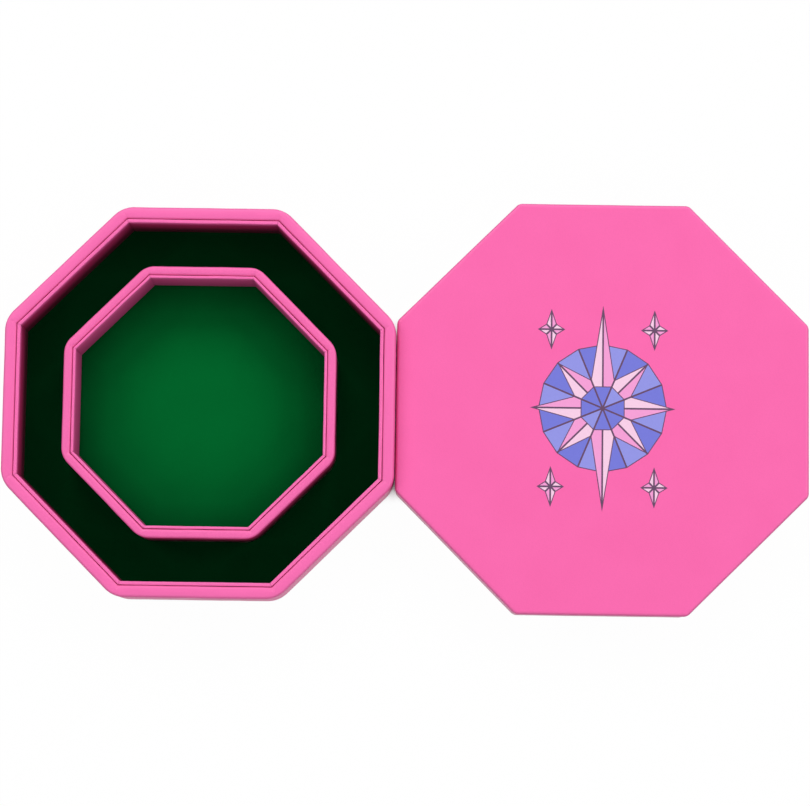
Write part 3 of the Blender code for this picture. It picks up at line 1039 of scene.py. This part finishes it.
def draw_out(place, heading, factor):
    """Moves the edited fan's point at a heading in degrees away from the fan's middle."""
    aim = Vector((math.cos(math.radians(heading)), math.sin(math.radians(heading)), 0))
    pick("verts", lambda v: (v.co - place).length > HAIR and (v.co - place).normalized().dot(aim) > 0.9999)
    bpy.ops.transform.resize(value=(factor, factor, 1), center_override=place)


def ink_facets(fan, place, inks):
    """Draws every facet's outline and fills the facets with inks, in turn round the fan."""
    size = sizes()
    for ink in ("outline", *inks):
        fan.data.materials.append(finish_of(f"ink_{ink}"))
    bpy.ops.mesh.select_mode(type="FACE")
    bpy.ops.mesh.select_all(action="SELECT")
    bpy.ops.mesh.inset(thickness=size.outline, depth=0.0, use_individual=True, use_even_offset=True)
    bm = bmesh.from_edit_mesh(fan.data)
    inner = [face for face in bm.faces if face.select]
    for face in inner:
        away = face.calc_center_median() - place
        turn = math.atan2(away.y, away.x) % (2 * math.pi)
        face.material_index = 1 + int(turn / (2 * math.pi) * len(inner)) % len(inks)
    bmesh.update_edit_mesh(fan.data)
    leave_edit_mode()
    thicken(fan, size.ink)


def star(name, place, valley, reaches, inks):
    """A star of as many rays as there are reaches. Each ray has a light and a dark half."""
    turn = 360 / len(reaches)
    fan = start_fan(name, place, valley, 2 * len(reaches))
    for ray, reach in enumerate(reaches):
        draw_out(place, ray * turn, reach / valley)
    ink_facets(fan, place, inks)
    return fan


class DICEBOX_OT_lid_print(bpy.types.Operator):
    """Prints a faceted star over a blue disc, with four small sparkles, in the middle of the lid"""

    bl_idname = "dice_box.lid_print"
    bl_label = "Lid print"

    def execute(self, context):
        size = sizes()
        low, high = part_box("lid_top_cover")
        middle_place = Vector(((low.x + high.x) / 2, (low.y + high.y) / 2, high.z))
        layers = [middle_place + Vector((0, 0, size.ink * (layer + 1.5))) for layer in range(3)]
        blues, pinks = ("blue", "pale_blue"), ("pale_pink", "pink")
        disc = start_fan("print_disc", layers[0], DISC_REACH, DISC_POINTS)
        ink_facets(disc, layers[0], blues)
        parts = [disc, star("print_star", layers[1], STAR_VALLEY, RAY_LENGTHS, pinks)]
        gem = start_fan("print_gem", layers[2], GEM_REACH, SIDES, math.degrees(HALF_TURN))
        ink_facets(gem, layers[2], blues)
        parts.append(gem)
        for spot, (x, y) in enumerate(SPARKLE_SPOTS):
            place = layers[0] + Vector((x, y, 0))
            parts.append(star(f"print_sparkle_{spot + 1}", place, SPARKLE_VALLEY, SPARKLE_RAYS, pinks))
        for part in parts:
            finish_print(part)
        return {"FINISHED"}


def finish_print(part):
    """Ties a printed shape to the lid. Its inks are already on it."""
    leave_edit_mode()
    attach(part, "lid")


class DICEBOX_OT_stage(bpy.types.Operator):
    """Sets the pale floor, the soft light and the camera above the box"""

    bl_idname = "dice_box.stage"
    bl_label = "Stage"

    def execute(self, context):
        scene = context.scene
        scene.view_settings.view_transform = "Standard"
        leave_edit_mode()
        bpy.ops.object.select_all(action="DESELECT")

        lens = bpy.data.cameras.new("camera")
        lens.sensor_width = 36.0
        lens.lens = CAMERA_LENS
        lens.clip_start = 0.05
        lens.clip_end = 30.0
        camera = bpy.data.objects.new("camera", lens)
        camera.location = CAMERA_PLACE
        camera.rotation_euler = CAMERA_TURN
        scene.collection.objects.link(camera)
        scene.camera = camera

        bpy.ops.mesh.primitive_plane_add(size=FLOOR_SIZE, location=(STAGE_MIDDLE, 0.0, -FLOOR_DROP))
        floor = bpy.context.object
        floor.name = "floor"
        floor.data.materials.append(floor_finish(colours().floor))

        scene.world = studio_world()
        for turn, power in SOFTBOXES.items():
            softbox(f"softbox_{turn}", turn, power)
        return {"FINISHED"}


def studio_world():
    """White where the camera looks at it, and a low even fill for everything else."""
    world = bpy.data.worlds.new("studio")
    world.use_nodes = True
    tree = world.node_tree
    fill = tree.nodes["Background"]
    fill.inputs["Strength"].default_value = FILL
    backdrop = tree.nodes.new("ShaderNodeBackground")
    rays = tree.nodes.new("ShaderNodeLightPath")
    mixed = tree.nodes.new("ShaderNodeMixShader")
    for node in (fill, backdrop):
        node.inputs["Color"].default_value = (1.0, 1.0, 1.0, 1.0)
    tree.links.new(rays.outputs["Is Camera Ray"], mixed.inputs[0])
    tree.links.new(fill.outputs[0], mixed.inputs[1])
    tree.links.new(backdrop.outputs[0], mixed.inputs[2])
    tree.links.new(mixed.outputs[0], tree.nodes["World Output"].inputs["Surface"])
    return world


def softbox(name, turn, power):
    """A square lamp that looks at the box from a direction in degrees round from +X."""
    aim = Vector((STAGE_MIDDLE, 0.0, 0.0))
    around, up = math.radians(turn), math.radians(LAMP_ELEVATION)
    place = aim + LAMP_DISTANCE * Vector(
        (math.cos(around) * math.cos(up), math.sin(around) * math.cos(up), math.sin(up))
    )
    lamp = bpy.data.lights.new(name, "AREA")
    lamp.shape = "SQUARE"
    lamp.size = LAMP_SIZE
    lamp.energy = power
    light = bpy.data.objects.new(name, lamp)
    light.location = place
    light.rotation_euler = (aim - place).to_track_quat("-Z", "Y").to_euler()
    bpy.context.scene.collection.objects.link(light)


def floor_finish(tint):
    """White ground that the camera sees almost evenly lit, with the box's shadow kept.

    Between two near walls it has painted shade in their deep pink, a painted reflection of the light that it
    gets from them.
    """
    finish = Finish("floor_white")
    rays = finish.node("ShaderNodeLightPath")
    # Painted shade and reflection: darker and pinker where two walls stand near
    near = finish.node("ShaderNodeAmbientOcclusion", {"samples": 8}, {"Distance": CONTACT})
    clear = finish.ramp(near.outputs["AO"], *CONTACT_STOPS)
    ground = finish.mix(rays.outputs["Is Camera Ray"], shade(tint, FLOOR_SHADE), tint)
    finish.set("Base Color", finish.mix(clear, shade(colours().recess_shade, FLOOR_GAP_SHADE), ground))
    finish.set("Roughness", 0.9)
    seen = finish.maths("MAXIMUM", rays.outputs["Is Camera Ray"], rays.outputs["Is Glossy Ray"])
    glow = finish.node("ShaderNodeEmission", sockets={"Color": (1.0, 1.0, 1.0, 1.0), "Strength": 1.0})
    mixed = finish.node(
        "ShaderNodeMixShader",
        sockets={0: seen * clear * FLOOR_GLOW, 1: finish.shader.outputs["BSDF"], 2: glow.outputs["Emission"]},
    )
    output = finish.tree.nodes["Material Output"]
    finish.fill(output.inputs["Surface"], mixed.outputs[0])
    return finish.material


OPERATORS = (
    DICEBOX_OT_stage,
    DICEBOX_OT_boards,
    DICEBOX_OT_base,
    DICEBOX_OT_tray_wrap,
    DICEBOX_OT_tray_liners,
    DICEBOX_OT_ring_wrap,
    DICEBOX_OT_ring_liners,
    DICEBOX_OT_felts,
    DICEBOX_OT_lid_cover,
    DICEBOX_OT_lid_skirt,
    DICEBOX_OT_lid_lining,
    DICEBOX_OT_lid_print,
)


class DICEBOX_PT_panel(bpy.types.Panel):
    """Lists the sizes, the colours and the steps that build the box"""

    bl_idname = "DICEBOX_PT_panel"
    bl_label = "Dice Box"
    bl_space_type = "VIEW_3D"
    bl_region_type = "UI"
    bl_category = "Dice Box"

    def draw(self, context):
        layout = self.layout
        for group in (context.scene.dice_box_sizes, context.scene.dice_box_colours):
            column = layout.column(align=True)
            for name in group.__annotations__:
                column.prop(group, name)
        for operator in OPERATORS:
            layout.operator(operator.bl_idname)


CLASSES = (DiceBoxSizes, DiceBoxColours, *OPERATORS, DICEBOX_PT_panel)


def register():
    for kind in CLASSES:
        bpy.utils.register_class(kind)
    bpy.types.Scene.dice_box_sizes = bpy.props.PointerProperty(type=DiceBoxSizes)
    bpy.types.Scene.dice_box_colours = bpy.props.PointerProperty(type=DiceBoxColours)


def unregister():
    del bpy.types.Scene.dice_box_sizes
    del bpy.types.Scene.dice_box_colours
    for kind in reversed(CLASSES):
        bpy.utils.unregister_class(kind)


def main():
    register()
    for operator in OPERATORS:
        group, name = operator.bl_idname.split(".")
        getattr(getattr(bpy.ops, group), name)()


if __name__ == "__main__":
    main()
